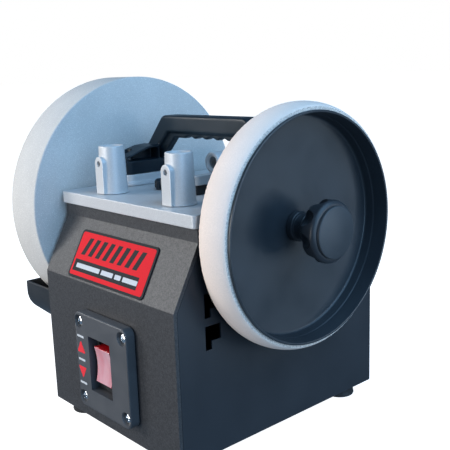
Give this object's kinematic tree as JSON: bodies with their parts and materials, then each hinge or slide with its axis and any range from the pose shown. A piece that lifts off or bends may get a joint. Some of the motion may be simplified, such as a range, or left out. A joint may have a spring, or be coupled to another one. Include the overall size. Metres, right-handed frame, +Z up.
{
  "type": "wet grinding sharpener",
  "caption": "Bench-top wet sharpener: sheet-steel housing with cast top, tool-support sleeves, large wet stone, leather honing wheel and a geared motor inside.",
  "frame": {"origin": "middle of the whole machine's footprint, on the floor under the rubber feet", "axes": "+X along the axle towards the honing wheel, +Y to the rear of the machine, +Z up"},
  "size_m": [0.3294, 0.2624, 0.322],
  "materials": {
    "dark_paint": "textured",
    "side_paint": "satin",
    "silver_paint": "satin",
    "black_plastic": "fine grain",
    "black_gloss": "satin gloss",
    "badge": "gloss print",
    "rocker_red": "gloss",
    "steel": "brushed",
    "chrome": "polished",
    "bronze": "sintered",
    "stone": "coarse grain",
    "leather": "suede",
    "rubber": "moulded",
    "motor_metal": "cast",
    "winding": "varnished"
  },
  "bodies": {
    "housing": {"front_panel": "dark_paint", "rear_panel": "dark_paint", "left_side_panel": "side_paint", "right_side_panel": "side_paint", "base_plate": "side_paint", "motor_bracket": "side_paint", "foot_front_left": "rubber", "foot_rear_left": "rubber", "foot_front_right": "rubber", "foot_rear_right": "rubber", "cord_gland": "rubber", "drive_belt": "rubber", "top_plate": "silver_paint", "upright_sleeve_left": "silver_paint", "upright_sleeve_right": "silver_paint", "level_sleeve_left": "silver_paint", "level_sleeve_right": "silver_paint", "handle_riser_left": "silver_paint", "handle_riser_right": "silver_paint", "carry_handle": "black_plastic", "belt_cover": "black_plastic", "cover_knob": "black_plastic", "switch_bezel": "black_plastic", "switch_body": "black_plastic", "run_capacitor": "black_plastic", "terminal_block": "black_plastic", "handle_screw_front_left": "steel", "handle_screw_rear_left": "steel", "handle_screw_front_right": "steel", "handle_screw_rear_right": "steel", "rocker_pin": "steel", "badge_plate": "badge", "bezel_screw_1": "chrome", "bezel_screw_2": "chrome", "bezel_screw_3": "chrome", "bezel_screw_4": "chrome", "shaft_bush_left": "bronze", "shaft_bush_right": "bronze", "gearbox": "motor_metal", "motor_case": "motor_metal", "motor_end_bell": "motor_metal", "motor_stator": "winding"},
    "axle": {"main_shaft": "steel", "driven_pulley": "motor_metal", "stone_flange_inner": "steel", "grinding_stone": "stone", "stone_flange_outer": "steel", "stone_nut": "steel", "wheel_spacer": "steel", "honing_disc": "black_gloss", "leather_band": "leather"},
    "clamp_knob": {"honing_knob": "black_plastic", "knob_cap": "black_gloss"},
    "drive_output": {"motor_pulley": "motor_metal", "output_shaft": "steel"},
    "armature": {"motor_rotor": "steel"},
    "power_rocker": {"rocker": "rocker_red"},
    "trough": {"water_trough": "black_plastic"}
  },
  "joints": [
    {"name": "axle_spin", "type": "hinge", "parent": "housing", "child": "axle", "pos_m": [0.00575, 0.00125, 0.195], "axis": [1, 0, 0], "continuous": true},
    {"name": "drive_output_spin", "type": "hinge", "parent": "housing", "child": "drive_output", "pos_m": [0.00575, 0.01125, 0.08], "axis": [1, 0, 0], "continuous": true},
    {"name": "armature_spin", "type": "hinge", "parent": "housing", "child": "armature", "pos_m": [0.00575, 0.01125, 0.08], "axis": [1, 0, 0], "continuous": true},
    {"name": "clamp_knob_turn", "type": "hinge", "parent": "axle", "child": "clamp_knob", "pos_m": [0.00575, 0.00125, 0.195], "axis": [1, 0, 0], "continuous": true},
    {"name": "rocker_tilt", "type": "hinge", "parent": "housing", "child": "power_rocker", "pos_m": [0.00895, -0.11275, 0.0747], "axis": [1, 0, 0], "range_deg": [-9, 9]},
    {"name": "trough_lift", "type": "slide", "parent": "housing", "child": "trough", "axis": [0, 0, 1], "range_m": [0, 0.007]}
  ],
  "couplings": [
    {"joint": "drive_output_spin", "follows": "axle_spin", "ratio": 2.5},
    {"joint": "armature_spin", "follows": "axle_spin", "ratio": 12}
  ]
}
